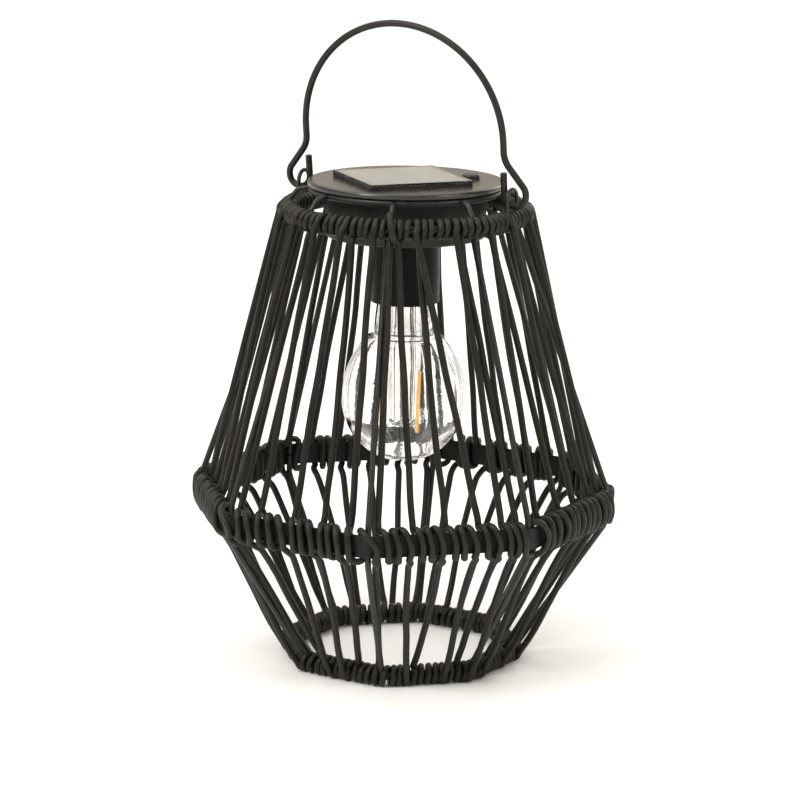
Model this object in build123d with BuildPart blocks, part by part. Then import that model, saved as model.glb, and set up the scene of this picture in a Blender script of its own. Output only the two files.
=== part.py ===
from build123d import *

import math
import os

# Solar garden light: a double-cone cage of corded wire with a drop-in solar lamp module and a wire bail handle.
# Millimetres. Origin at the centre of the footprint on the ground, +Z up. The handle's pivots lie on the X axis.
# Angles called "bearing" are degrees measured from -Y towards +X, seen from above.

# ---- driving dimensions -------------------------------------------------------------------------------------------
CORD_R = 1.65            # cord radius
STRUT_R = 1.5            # frame wire radius
BASE_WIRE_R = 2.0        # bottom ring wire radius
BASE_CIRCUM = 57.5       # bottom octagon, centre to corner
BASE_Z = 5.3             # bottom ring wire height
WRAP_R = 5.3             # top ring with its winding
BASE_WRAP_R = 5.5        # bottom ring with its winding, before it is pressed flat on the ground
STRUT_BEARING = 20.0     # first frame wire and first octagon corner
WAIST_CIRCUM = 104.0     # octagonal waist band, centre to corner at mid thickness
BAND_T = 1.5
BAND_BEND = 3.0          # inner radius of the band's corners
BAND_Z0, BAND_Z1 = 77.0, 87.8
CORD_IN = -2.55          # cord centre line where it passes inside the band, from the band's mid surface
CORD_JOIN_Z0, CORD_JOIN_Z1 = 79.4, 83.2
HITCH_OFF = 2.45         # hitch loop centre line from the band's mid surface
HITCH_OVER = 1.9         # hitch loop centre line beyond the band's edges
HITCH_STEP = 3.36        # hitch loop beside its cord, along the band
TOP_RING_R = 57.5        # top ring
TOP_RING_Z = 226.0
TOP_WIRE_R = 2.0
SEAT_RING_R = 46.5       # ring that carries the lamp module
SEAT_RING_Z = 236.8
EYE_X = 58.3             # handle eyes
EYE_HALF = 5.0
EYE_WIRE_R = 1.0
EYE_TOP_Z = 241.5
PIVOT_Z = 233.3          # handle pivot
HANDLE_R = 1.65          # handle wire radius
HANDLE_LEAN = 7.0        # rest lean towards -Y, degrees
HANDLE_ARCH_R = 55.0     # arch of the handle
HANDLE_ARCH_H = 31.0     # height of the arch's centre over the pivot
CAP_R = 48.4             # lamp module cap
CAP_Z0, CAP_Z1 = 238.6, 241.5
DRUM_R = 39.5            # housing below the cap
DRUM_Z0 = 214.0
DRUM_Z1 = 237.8
DRUM_T = 1.8
PANEL = 53.0             # solar panel, square
PANEL_X, PANEL_Y, PANEL_TURN = 0.3, -4.6, 50.3
SWITCH_X, SWITCH_Y, SWITCH_TURN = 25.4, 19.8, 37.9
BUTTON_R = 4.3
BUTTON_TRAVEL = 1.0
SOCKET_R = 17.0
SOCKET_Z0 = 181.0
TOWER_R = 33.6           # screw towers in the housing

# ---- cord runs: (bearing at the top ring, bearing at the waist band, lies over the ring or comes from under it) -------
UPPER = [
    (-1.8, -4.5, "over"), (3.6, 5.3, "under"), (16.3, 13.8, "over"), (21.9, 23.2, "under"),
    (25.4, 32.4, "under"), (35.2, 41.7, "under"), (31.6, 51.2, "over"), (49.8, 57.6, "over"),
    (54.6, 61.5, "under"), (68.4, 71.4, "over"), (72.8, 83.2, "under"), (85.4, 92.2, "over"),
    (92.2, 101.2, "under"), (103.0, 105.9, "over"), (112.8, 116.6, "under"), (121.4, 126.4, "over"),
    (127.4, 134.7, "under"), (139.8, 139.0, "over"), (145.6, 149.0, "under"), (157.4, 159.2, "over"),
    (163.4, 166.4, "under"), (175.4, 174.9, "over"), (181.4, 184.4, "under"), (193.4, 194.1, "over"),
    (202.2, 203.0, "under"), (210.6, 211.7, "over"), (216.8, 220.9, "under"), (227.8, 229.9, "over"),
    (233.8, 238.2, "under"), (247.2, 247.6, "over"), (251.2, 257.4, "under"), (261.8, 267.2, "over"),
    (268.2, 275.7, "under"), (278.8, 282.7, "over"), (285.0, 286.6, "under"), (295.8, 296.6, "over"),
    (301.8, 304.9, "under"), (312.8, 313.3, "over"), (318.6, 317.6, "under"), (329.8, 325.9, "over"),
    (338.0, 337.8, "under"), (346.6, 344.2, "over"),
]
# ---- cord runs below the band: bearing at the bottom ring for each band bearing, in the same order ---------------------
LOWER = [
    -7.6, -3.0, 6.4, 22.8, 30.6, 35.2, 50.6, 55.6, 60.4, 71.6, 78.4, 90.4, 97.2, 105.6, 114.8,
    127.6, 132.0, 144.8, 149.2, 162.0, 166.4, 179.2, 183.6, 196.4, 201.6, 213.6, 218.0, 230.8,
    235.2, 248.0, 252.4, 265.2, 269.6, 282.4, 286.8, 299.6, 304.0, 316.8, 321.2, 333.0, 337.4,
    347.0,
]
POSTS = [335.6, 21.9, 62.6, 112.0, 157.0, 201.0, 248.0, 297.0]


def at(radius, bearing, z):
    a = math.radians(bearing)
    return (radius * math.sin(a), -radius * math.cos(a), z)


def base_radius(bearing):
    off = (bearing - STRUT_BEARING) % 45 - 22.5
    return BASE_CIRCUM * math.cos(math.radians(22.5)) / math.cos(math.radians(off))


APOTHEM = WAIST_CIRCUM * math.cos(math.radians(22.5))


def waist_radius(bearing, offset=0.0):
    off = (bearing - STRUT_BEARING) % 45 - 22.5
    return (APOTHEM + offset) / math.cos(math.radians(off))


upper_runs = []
for top, mid, lay in UPPER:
    start = at(64.0, top, 228.0) if lay == "over" else at(58.8, top, 220.9)
    upper_runs.append((start, at(waist_radius(mid, CORD_IN), mid, CORD_JOIN_Z1)))
lower_runs = []
for (top, mid, lay), low in zip(UPPER, LOWER):
    lower_runs.append((at(waist_radius(mid, CORD_IN), mid, CORD_JOIN_Z0), at(base_radius(low) + 7.4, low, 4.4)))

os.makedirs("parts", exist_ok=True)

# ================================================ the cage ==========================================================

# Bottom ring: octagon of wire with bent corners.
corners = [at(BASE_CIRCUM, STRUT_BEARING + 45 * k, BASE_Z) for k in range(8)]
with BuildPart() as bottom_ring:
    with BuildLine() as base_path:
        FilletPolyline(*corners, radius=6, close=True)
    with BuildSketch(Plane(origin=base_path.line @ 0, z_dir=base_path.line % 0)):
        Circle(BASE_WIRE_R)
    sweep()
bottom_ring.part.label = "bottom_ring"
export_step(bottom_ring.part, "parts/bottom_ring.step")

# Winding on the bottom ring: one straight sleeve on each side, pressed flat where it stands on the ground.
with BuildPart() as bottom_wrap:
    for k in range(8):
        a = Vector(*corners[k])
        b = Vector(*corners[(k + 1) % 8])
        along = (b - a).normalized()
        with BuildSketch(Plane(origin=a + along * 2.6, z_dir=along)):
            Circle(BASE_WRAP_R)
            Circle(BASE_WIRE_R + 0.05, mode=Mode.SUBTRACT)
        extrude(amount=(b - a).length - 5.2)
    split(bisect_by=Plane.XY, keep=Keep.TOP)
bottom_wrap.part.label = "bottom_wrap"
export_step(bottom_wrap.part, "parts/bottom_wrap.step")

# Frame wires: eight below the band and eight above it, each with a short tail welded into a corner of the band.
inner_corner = (APOTHEM - BAND_T / 2 - BAND_BEND) / math.cos(math.radians(22.5)) + BAND_BEND
band_weld_r = inner_corner - STRUT_R + 0.1
with BuildPart(mode=Mode.PRIVATE) as lower_strut:
    with BuildLine(Plane.XZ) as low_path:
        FilletPolyline((BASE_CIRCUM - 0.4, BASE_Z + 0.4), (band_weld_r, 72.5), (band_weld_r, 82.0), radius=5)
    with BuildSketch(Plane(origin=low_path.line @ 0, z_dir=low_path.line % 0)):
        Circle(STRUT_R)
    sweep()
with BuildPart() as lower_struts:
    with PolarLocations(0, 8, start_angle=STRUT_BEARING - 90):
        add(lower_strut.part)
lower_struts.part.label = "lower_struts"
export_step(lower_struts.part, "parts/lower_struts.step")

with BuildPart(mode=Mode.PRIVATE) as upper_strut:
    with BuildLine(Plane.XZ) as up_path:
        FilletPolyline((band_weld_r, 82.8), (band_weld_r, 91.5), (54.6, 221.7), radius=5)
    with BuildSketch(Plane(origin=up_path.line @ 0, z_dir=up_path.line % 0)):
        Circle(STRUT_R)
    sweep()
with BuildPart() as upper_struts:
    with PolarLocations(0, 8, start_angle=STRUT_BEARING - 90):
        add(upper_strut.part)
upper_struts.part.label = "upper_struts"
export_step(upper_struts.part, "parts/upper_struts.step")

# Waist band: a flat strip bent into an octagon, with a frame wire in each corner.
band_outer, band_inner = (
    [at((APOTHEM + side) / math.cos(math.radians(22.5)), STRUT_BEARING + 45 * k, 0)[:2] for k in range(8)]
    for side in (BAND_T / 2, -BAND_T / 2)
)
with BuildPart() as mid_band:
    with BuildSketch(Plane.XY.offset(BAND_Z0)):
        with BuildLine():
            FilletPolyline(*band_outer, radius=BAND_BEND + BAND_T, close=True)
        make_face()
        with BuildLine():
            FilletPolyline(*band_inner, radius=BAND_BEND, close=True)
        make_face(mode=Mode.SUBTRACT)
    extrude(amount=BAND_Z1 - BAND_Z0)
    fillet(mid_band.edges().group_by(Axis.Z)[-1] + mid_band.edges().group_by(Axis.Z)[0], 0.4)
mid_band.part.label = "mid_band"
export_step(mid_band.part, "parts/mid_band.step")

# Top ring wire and its winding.
with BuildPart() as top_ring:
    with Locations((0, 0, TOP_RING_Z)):
        Torus(TOP_RING_R, TOP_WIRE_R)
top_ring.part.label = "top_ring"
export_step(top_ring.part, "parts/top_ring.step")

with BuildPart() as top_wrap:
    with BuildSketch(Plane.XZ):
        with Locations((TOP_RING_R, TOP_RING_Z)):
            Circle(WRAP_R)
            Circle(TOP_WIRE_R + 0.02, mode=Mode.SUBTRACT)
    revolve(axis=Axis.Z)
top_wrap.part.label = "top_wrap"
export_step(top_wrap.part, "parts/top_wrap.step")

# Seat ring under the cap, on eight short posts that rise from the top ring and bend inwards.
with BuildPart() as seat_ring:
    with Locations((0, 0, SEAT_RING_Z)):
        Torus(SEAT_RING_R, STRUT_R)
seat_ring.part.label = "seat_ring"
export_step(seat_ring.part, "parts/seat_ring.step")

with BuildPart() as seat_posts:
    for bearing in POSTS:
        with BuildLine() as post_path:
            FilletPolyline(at(57.0, bearing, 230.6), at(53.2, bearing, 235.8), at(47.4, bearing, SEAT_RING_Z), radius=3)
        with BuildSketch(Plane(origin=post_path.line @ 0, z_dir=post_path.line % 0)):
            Circle(1.3)
        sweep(path=post_path.line)
seat_posts.part.label = "seat_posts"
export_step(seat_posts.part, "parts/seat_posts.step")

# Cords.
with BuildPart() as upper_cords:
    for start, end in upper_runs:
        run = Vector(*end) - Vector(*start)
        with BuildSketch(Plane(origin=start, z_dir=run)):
            Circle(CORD_R)
        extrude(amount=run.length)
upper_cords.part.label = "upper_cords"
export_step(upper_cords.part, "parts/upper_cords.step")

with BuildPart() as lower_cords:
    for start, end in lower_runs:
        run = Vector(*end) - Vector(*start)
        with BuildSketch(Plane(origin=start, z_dir=run)):
            Circle(CORD_R)
        extrude(amount=run.length)
lower_cords.part.label = "lower_cords"
export_step(lower_cords.part, "parts/lower_cords.step")

# Where each cord is hitched to the band a loop of cord goes round the band beside it.
with BuildPart(mode=Mode.PRIVATE) as hitch_loop:
    with BuildLine(Plane.XZ) as loop_path:
        FilletPolyline(
            (APOTHEM + HITCH_OFF, BAND_Z0 - HITCH_OVER), (APOTHEM + HITCH_OFF, BAND_Z1 + HITCH_OVER),
            (APOTHEM - HITCH_OFF, BAND_Z1 + HITCH_OVER), (APOTHEM - HITCH_OFF, BAND_Z0 - HITCH_OVER),
            radius=2.4, close=True,
        )
    with BuildSketch(Plane(origin=loop_path.line @ 0, z_dir=loop_path.line % 0)):
        Circle(CORD_R)
    sweep()
with BuildPart() as band_hitches:
    for top, mid, lay in UPPER:
        off = (mid - STRUT_BEARING) % 45 - 22.5
        facing = math.radians(mid - off)
        along = (APOTHEM + CORD_IN) * math.tan(math.radians(off)) + HITCH_STEP
        with Locations(Location((along * math.cos(facing), along * math.sin(facing), 0), (0, 0, mid - off - 90))):
            add(hitch_loop.part)
band_hitches.part.label = "band_hitches"
export_step(band_hitches.part, "parts/band_hitches.step")

# Handle eyes: a hoop of thin wire on each side, standing on the wound top ring.
with BuildPart() as handle_eye_right:
    with BuildLine(Plane(origin=(EYE_X, 0, 0), x_dir=(0, 1, 0), z_dir=(1, 0, 0))) as eye_path:
        leg_a = Line((-EYE_HALF, 230.1), (-EYE_HALF, EYE_TOP_Z - EYE_HALF))
        hoop = ThreePointArc((-EYE_HALF, EYE_TOP_Z - EYE_HALF), (0, EYE_TOP_Z), (EYE_HALF, EYE_TOP_Z - EYE_HALF))
        leg_b = Line((EYE_HALF, EYE_TOP_Z - EYE_HALF), (EYE_HALF, 230.1))
    with BuildSketch(Plane(origin=eye_path.line @ 0, z_dir=eye_path.line % 0)):
        Circle(EYE_WIRE_R)
    sweep(path=eye_path.line)
handle_eye_right.part.label = "handle_eye_right"
export_step(handle_eye_right.part, "parts/handle_eye_right.step")

with BuildPart() as handle_eye_left:
    add(mirror(handle_eye_right.part, about=Plane.YZ))
handle_eye_left.part.label = "handle_eye_left"
export_step(handle_eye_left.part, "parts/handle_eye_left.step")

# ================================================ the handle ========================================================

# One bent wire: an arch, a kink outwards on each side, and a hook that turns under and ends in an upright stub.
lean = math.radians(HANDLE_LEAN)
handle_plane = Plane(origin=(0, 0, PIVOT_Z), x_dir=(1, 0, 0), z_dir=(0, -math.cos(lean), -math.sin(lean)))
with BuildPart() as handle_bail:
    with BuildLine(handle_plane) as bail_path:
        hook_right = FilletPolyline(
            (54.5, 16.2), (54.5, 0), (66.1, 0), (66.1, 8.4), (HANDLE_ARCH_R, 22.4), (HANDLE_ARCH_R, HANDLE_ARCH_H),
            radius=(5.7, 5.7, 6.0, 12.0),
        )
        arch = ThreePointArc(
            (HANDLE_ARCH_R, HANDLE_ARCH_H), (0, HANDLE_ARCH_H + HANDLE_ARCH_R), (-HANDLE_ARCH_R, HANDLE_ARCH_H)
        )
        hook_left = FilletPolyline(
            (-HANDLE_ARCH_R, HANDLE_ARCH_H), (-HANDLE_ARCH_R, 22.4), (-66.1, 8.4), (-66.1, 0), (-54.5, 0), (-54.5, 16.2),
            radius=(12.0, 6.0, 5.7, 5.7),
        )
    with BuildSketch(Plane(origin=bail_path.line @ 0, z_dir=bail_path.line % 0)):
        Circle(HANDLE_R)
    sweep(path=bail_path.line)
handle_bail.part.label = "handle_bail"
export_step(handle_bail.part, "parts/handle_bail.step")

# ================================================ the lamp module ===================================================

# Cap: a disc that rests on the seat ring, with four screw bosses underneath and holes for the button and the leads.
towers = [(TOWER_R, 0), (0, TOWER_R), (-TOWER_R, 0), (0, -TOWER_R)]
with BuildPart() as module_cap:
    with BuildSketch(Plane.XY.offset(CAP_Z0)):
        Circle(CAP_R)
    extrude(amount=CAP_Z1 - CAP_Z0)
    fillet(module_cap.edges().filter_by(GeomType.CIRCLE).sort_by(Axis.Z)[-1], 1.3)
    fillet(module_cap.edges().filter_by(GeomType.CIRCLE).sort_by(Axis.Z)[0], 0.5)
    with BuildSketch(Plane.XY.offset(CAP_Z0)):
        with Locations(*towers):
            Circle(3.5)
    extrude(amount=-6.0)
    with BuildSketch(Plane.XY.offset(CAP_Z0 - 6.0)):
        with Locations(*towers):
            Circle(1.45)
    extrude(amount=7.4, mode=Mode.SUBTRACT)
    with BuildSketch(Plane.XY.offset(CAP_Z0 - 1)):
        with Locations((SWITCH_X, SWITCH_Y)):
            Circle(BUTTON_R + 0.3)
        with Locations((0, 4)):
            Circle(2.2)
    extrude(amount=6, mode=Mode.SUBTRACT)
module_cap.part.label = "module_cap"
export_step(module_cap.part, "parts/module_cap.step")

# Housing: a drum closed at the bottom, with screw towers, board posts and a hole for the lamp leads.
with BuildPart() as module_housing:
    with BuildSketch(Plane.XY.offset(DRUM_Z0)):
        Circle(DRUM_R)
    extrude(amount=DRUM_Z1 - DRUM_Z0)
    with BuildSketch(Plane.XY.offset(DRUM_Z0 + DRUM_T)):
        Circle(DRUM_R - DRUM_T)
    extrude(amount=DRUM_Z1 - DRUM_Z0, mode=Mode.SUBTRACT)
    fillet(module_housing.edges().filter_by(GeomType.CIRCLE).sort_by(Axis.Z)[0], 1.2)
    with BuildSketch(Plane.XY.offset(DRUM_Z0 + DRUM_T)):
        with Locations(*towers):
            Circle(4.3)
    extrude(amount=CAP_Z0 - 6.0 - DRUM_Z0 - DRUM_T)
    with BuildSketch(Plane.XY.offset(DRUM_Z0 + DRUM_T)):
        with Locations((12.5, 5.5), (-12.5, 5.5), (12.5, 19), (-12.5, 19)):
            Circle(2.0)
    extrude(amount=2.2)
    with BuildSketch(Plane.XY.offset(DRUM_Z0)):
        with Locations(*towers):
            Circle(3.0)
    extrude(amount=15.0, mode=Mode.SUBTRACT)
    with BuildSketch(Plane.XY.offset(DRUM_Z0)):
        with Locations(*towers):
            Circle(1.6)
    extrude(amount=20.0, mode=Mode.SUBTRACT)
    with BuildSketch(Plane.XY.offset(DRUM_Z0)):
        Circle(3.2)
        with Locations((11, 0), (-11, 0)):
            Circle(1.1)
    extrude(amount=DRUM_T, mode=Mode.SUBTRACT)
module_housing.part.label = "module_housing"
export_step(module_housing.part, "parts/module_housing.step")

with BuildPart() as housing_seal:
    with BuildSketch(Plane.XY.offset(DRUM_Z1)):
        Circle(DRUM_R - 0.1)
        Circle(DRUM_R - DRUM_T + 0.2, mode=Mode.SUBTRACT)
    extrude(amount=CAP_Z0 - DRUM_Z1)
housing_seal.part.label = "housing_seal"
export_step(housing_seal.part, "parts/housing_seal.step")

# Housing screws, driven from below into the cap's bosses.
with BuildPart() as housing_screws:
    with BuildSketch(Plane.XY.offset(DRUM_Z0 + 12.8)):
        with Locations(*towers):
            Circle(2.75)
    extrude(amount=2.2)
    with BuildSketch(Plane.XY.offset(DRUM_Z0 + 15.0)):
        with Locations(*towers):
            Circle(1.45)
    extrude(amount=10.6)
    with BuildSketch(Plane.XY.offset(DRUM_Z0 + 12.8)):
        with Locations(*towers):
            Rectangle(3.2, 0.8)
            Rectangle(0.8, 3.2)
    extrude(amount=1.0, mode=Mode.SUBTRACT)
housing_screws.part.label = "housing_screws"
export_step(housing_screws.part, "parts/housing_screws.step")

# Solar panel: board, cells and clear cover, turned on the cap.
with BuildPart() as solar_panel_board:
    with BuildSketch(Plane.XY.offset(CAP_Z1)):
        with Locations(Location((PANEL_X, PANEL_Y, 0), (0, 0, PANEL_TURN))):
            RectangleRounded(PANEL, PANEL, 0.6)
    extrude(amount=1.4)
solar_panel_board.part.label = "solar_panel_board"
export_step(solar_panel_board.part, "parts/solar_panel_board.step")

with BuildPart() as solar_cells:
    with BuildSketch(Plane.XY.offset(CAP_Z1 + 1.4)):
        with Locations(Location((PANEL_X, PANEL_Y, 0), (0, 0, PANEL_TURN))):
            with GridLocations(0, 12.2, 1, 4):
                Rectangle(48.6, 11.8)
    extrude(amount=0.3)
solar_cells.part.label = "solar_cells"
export_step(solar_cells.part, "parts/solar_cells.step")

with BuildPart() as panel_cover:
    with BuildSketch(Plane.XY.offset(CAP_Z1 + 1.4)):
        with Locations(Location((PANEL_X, PANEL_Y, 0), (0, 0, PANEL_TURN))):
            RectangleRounded(PANEL, PANEL, 0.6)
            Rectangle(50.0, 50.0, mode=Mode.SUBTRACT)
    extrude(amount=0.35)
    with BuildSketch(Plane.XY.offset(CAP_Z1 + 1.75)):
        with Locations(Location((PANEL_X, PANEL_Y, 0), (0, 0, PANEL_TURN))):
            RectangleRounded(PANEL, PANEL, 0.6)
    extrude(amount=1.0)
panel_cover.part.label = "panel_cover"
export_step(panel_cover.part, "parts/panel_cover.step")

# Switch: a push button through the cap over a latching switch body.
with BuildPart() as switch_button:
    with BuildSketch(Plane.XY.offset(CAP_Z0 - 0.6)):
        with Locations((SWITCH_X, SWITCH_Y)):
            Circle(BUTTON_R)
    extrude(amount=CAP_Z1 + 2.4 - CAP_Z0 + 0.6)
    fillet(switch_button.edges().filter_by(GeomType.CIRCLE).sort_by(Axis.Z)[-1], 1.1)
switch_button.part.label = "switch_button"
export_step(switch_button.part, "parts/switch_button.step")

with BuildPart() as switch_body:
    with BuildSketch(Plane.XY.offset(CAP_Z0 - 7.0)):
        with Locations(Location((SWITCH_X, SWITCH_Y, 0), (0, 0, SWITCH_TURN))):
            RectangleRounded(8.6, 8.6, 0.5)
    extrude(amount=5.2)
    with BuildSketch(Plane.XY.offset(CAP_Z0 - 7.0)):
        with Locations((SWITCH_X, SWITCH_Y)):
            with GridLocations(5.0, 5.0, 2, 2):
                Circle(0.4)
    extrude(amount=-2.0)
switch_body.part.label = "switch_body"
export_step(switch_body.part, "parts/switch_body.step")

# The clip that holds the switch body against the cap.
with BuildPart() as switch_clip:
    with BuildSketch(Plane.XY.offset(CAP_Z0 - 1.8)):
        with Locations(Location((SWITCH_X, SWITCH_Y, 0), (0, 0, SWITCH_TURN))):
            RectangleRounded(10.0, 10.4, 0.8)
            Circle(BUTTON_R + 0.4, mode=Mode.SUBTRACT)
    extrude(amount=1.8)
    with BuildSketch(Plane.XY.offset(CAP_Z0 - 7.0)):
        with Locations(Location((SWITCH_X, SWITCH_Y, 0), (0, 0, SWITCH_TURN))):
            RectangleRounded(10.0, 10.4, 0.8)
            Rectangle(8.62, 8.62, mode=Mode.SUBTRACT)
    extrude(amount=5.2)
switch_clip.part.label = "switch_clip"
export_step(switch_clip.part, "parts/switch_clip.step")

# Circuit board with its larger components, on the housing's posts.
board_z = DRUM_Z0 + DRUM_T + 2.2
with BuildPart() as circuit_board:
    with BuildSketch(Plane.XY.offset(board_z)):
        with Locations((0, 11)):
            RectangleRounded(31, 22, 1.0)
    extrude(amount=1.6)
    with BuildSketch(Plane.XY.offset(board_z + 1.6)):
        with Locations((8, 12)):
            Circle(3.2)
        with Locations((-8, 12)):
            Rectangle(6, 5)
        with Locations((0, 18)):
            Rectangle(8, 3)
    extrude(amount=3.0)
circuit_board.part.label = "circuit_board"
export_step(circuit_board.part, "parts/circuit_board.step")

# Battery in its tray, with a spring at one end and a plate at the other.
bat_y, bat_z = -16.0, DRUM_Z0 + DRUM_T + 1.2 + 7.3
with BuildPart() as battery_tray:
    with BuildSketch(Plane.XY.offset(DRUM_Z0 + DRUM_T)):
        with Locations((0, bat_y)):
            Rectangle(55.0, 16.8)
    extrude(amount=10.0)
    with BuildSketch(Plane.XY.offset(DRUM_Z0 + DRUM_T + 1.0)):
        with Locations((0, bat_y)):
            Rectangle(52.6, 14.8)
    extrude(amount=20, mode=Mode.SUBTRACT)
battery_tray.part.label = "battery_tray"
export_step(battery_tray.part, "parts/battery_tray.step")

with BuildPart() as battery:
    with BuildSketch(Plane(origin=(-23.6, bat_y, bat_z), z_dir=(1, 0, 0))):
        Circle(7.1)
    extrude(amount=48.0)
    fillet(battery.edges().filter_by(GeomType.CIRCLE), 0.6)
    with BuildSketch(Plane(origin=(24.3, bat_y, bat_z), z_dir=(1, 0, 0))):
        Circle(2.75)
    extrude(amount=1.4)
battery.part.label = "battery"
export_step(battery.part, "parts/battery.step")

with BuildPart() as battery_plate:
    with BuildSketch(Plane(origin=(25.8, bat_y, bat_z), z_dir=(1, 0, 0))):
        Rectangle(8.0, 8.0)
    extrude(amount=0.4)
battery_plate.part.label = "battery_plate"
export_step(battery_plate.part, "parts/battery_plate.step")

with BuildPart() as battery_spring:
    with BuildSketch(Plane(origin=(-26.2, bat_y, bat_z), z_dir=(1, 0, 0))):
        Circle(4.0)
        Circle(2.6, mode=Mode.SUBTRACT)
    extrude(amount=1.2)
    with BuildSketch(Plane(origin=(-25.0, bat_y, bat_z), z_dir=(1, 0, 0))):
        Circle(3.2)
        Circle(2.0, mode=Mode.SUBTRACT)
    extrude(amount=1.3)
battery_spring.part.label = "battery_spring"
export_step(battery_spring.part, "parts/battery_spring.step")

# Lamp socket under the drum, and its two screws.
with BuildPart() as lamp_socket:
    with BuildSketch(Plane.XY.offset(SOCKET_Z0)):
        Circle(SOCKET_R)
    extrude(amount=DRUM_Z0 - SOCKET_Z0)
    with BuildSketch(Plane.XY.offset(SOCKET_Z0)):
        Circle(SOCKET_R - 1.6)
    extrude(amount=DRUM_Z0 - SOCKET_Z0 - 3.4, mode=Mode.SUBTRACT)
    fillet(lamp_socket.edges().filter_by(GeomType.CIRCLE).group_by(Axis.Z)[0], 0.5)
    with BuildSketch(Plane.XY.offset(DRUM_Z0)):
        Circle(3.2)
    extrude(amount=-5, mode=Mode.SUBTRACT)
    with BuildSketch(Plane.XY.offset(DRUM_Z0)):
        with Locations((11, 0), (-11, 0)):
            Circle(1.1)
    extrude(amount=-2.6, mode=Mode.SUBTRACT)
lamp_socket.part.label = "lamp_socket"
export_step(lamp_socket.part, "parts/lamp_socket.step")

with BuildPart() as socket_screws:
    with BuildSketch(Plane.XY.offset(DRUM_Z0 - 2.4)):
        with Locations((11, 0), (-11, 0)):
            Circle(1.1)
    extrude(amount=2.4 + DRUM_T)
    with BuildSketch(Plane.XY.offset(DRUM_Z0 + DRUM_T)):
        with Locations((11, 0), (-11, 0)):
            Circle(2.1)
    extrude(amount=1.5)
socket_screws.part.label = "socket_screws"
export_step(socket_screws.part, "parts/socket_screws.step")

with BuildPart() as socket_contact:
    with BuildSketch(Plane.XY.offset(DRUM_Z0 - 4.2)):
        Circle(4.6)
    extrude(amount=0.8)
socket_contact.part.label = "socket_contact"
export_step(socket_contact.part, "parts/socket_contact.step")

# Bulb base: a threaded metal cup that holds the bulb's neck.
with BuildPart() as bulb_base:
    with BuildSketch(Plane.XZ):
        with BuildLine():
            Polyline(
                (13.05, 184.0), (14.2, 184.0), (14.2, 188.0), (13.6, 188.8), (14.4, 190.4), (13.6, 192.0), (14.4, 193.6),
                (13.6, 195.2), (14.4, 196.8), (13.6, 198.4), (14.0, 200.0), (13.2, 202.0), (6.4, 207.0), (6.4, 209.8),
                (0, 209.8), (0, 208.6), (5.4, 208.6), (5.4, 206.4), (12.2, 201.4), (12.8, 199.6), (12.8, 190.0),
                (13.05, 189.8), (13.05, 184.0),
            )
        make_face()
    revolve(axis=Axis.Z)
bulb_base.part.label = "bulb_base"
export_step(bulb_base.part, "parts/bulb_base.step")

# Bulb: a clear globe with a flared neck.
outer = [(0, 100.8), (16.0, 105.0), (27.0, 116.6), (30.9, 131.0), (29.6, 143.6), (24.9, 154.6), (18.2, 163.6), (13.8, 173.0)]
inner = [(0, 102.6), (15.0, 106.5), (25.5, 117.5), (29.2, 131.0), (28.0, 143.0), (23.5, 153.6), (16.8, 162.8), (12.3, 172.8)]
with BuildPart() as bulb_envelope:
    with BuildSketch(Plane.XZ):
        with BuildLine():
            s_out = Spline(*outer, tangents=((1, 0), (-0.06, 1)))
            n_out = Polyline(outer[-1], (12.9, 180.0), (12.9, 189.4), (11.4, 189.4), (11.4, 180.0), inner[-1])
            s_in = Spline(*reversed(inner), tangents=((0.06, -1), (-1, 0)))
            axis_edge = Line(inner[0], outer[0])
        make_face()
    revolve(axis=Axis.Z)
bulb_envelope.part.label = "bulb_envelope"
export_step(bulb_envelope.part, "parts/bulb_envelope.step")

# Clear inner column that carries the filaments.
with BuildPart() as bulb_stem:
    with BuildSketch(Plane.XZ):
        with BuildLine():
            Polyline(
                (0, 186.0), (11.2, 186.0), (11.2, 184.6), (8.6, 180.0), (8.2, 150.0), (7.4, 121.0), (5.6, 118.4), (0, 117.6),
                (0, 119.2), (5.0, 119.8), (6.2, 121.6), (7.0, 150.0), (7.3, 180.0), (8.8, 183.4), (0, 183.4), (0, 186.0),
            )
        make_face()
    revolve(axis=Axis.Z)
bulb_stem.part.label = "bulb_stem"
export_step(bulb_stem.part, "parts/bulb_stem.step")

# Two LED filament sticks beside the column, and the wires that carry them.
fil = [((-9.9, -5.5, 147.3), (-9.9, -5.5, 115.8)), ((10.8, -3.6, 147.3), (9.0, -2.6, 115.8))]
with BuildPart() as led_filaments:
    for top, low in fil:
        run = Vector(*low) - Vector(*top)
        with BuildSketch(Plane(origin=top, z_dir=run)):
            Circle(0.85)
        extrude(amount=run.length)
led_filaments.part.label = "led_filaments"
export_step(led_filaments.part, "parts/led_filaments.step")

with BuildPart() as filament_supports:
    for top, low in fil:
        bearing_xy = Vector(top[0], top[1], 0).normalized()
        ring = bearing_xy * 8.0
        with BuildSketch(Plane(origin=Vector(ring.X, ring.Y, 151.4), z_dir=Vector(*top) - Vector(ring.X, ring.Y, 151.4))):
            Circle(0.3)
        extrude(amount=(Vector(*top) - Vector(ring.X, ring.Y, 151.4)).length)
        foot_xy = Vector(low[0], low[1], 0).normalized() * 6.6
        with BuildSketch(Plane(origin=Vector(foot_xy.X, foot_xy.Y, 119.4), z_dir=Vector(*low) - Vector(foot_xy.X, foot_xy.Y, 119.4))):
            Circle(0.3)
        extrude(amount=(Vector(*low) - Vector(foot_xy.X, foot_xy.Y, 119.4)).length)
filament_supports.part.label = "filament_supports"
export_step(filament_supports.part, "parts/filament_supports.step")

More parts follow.
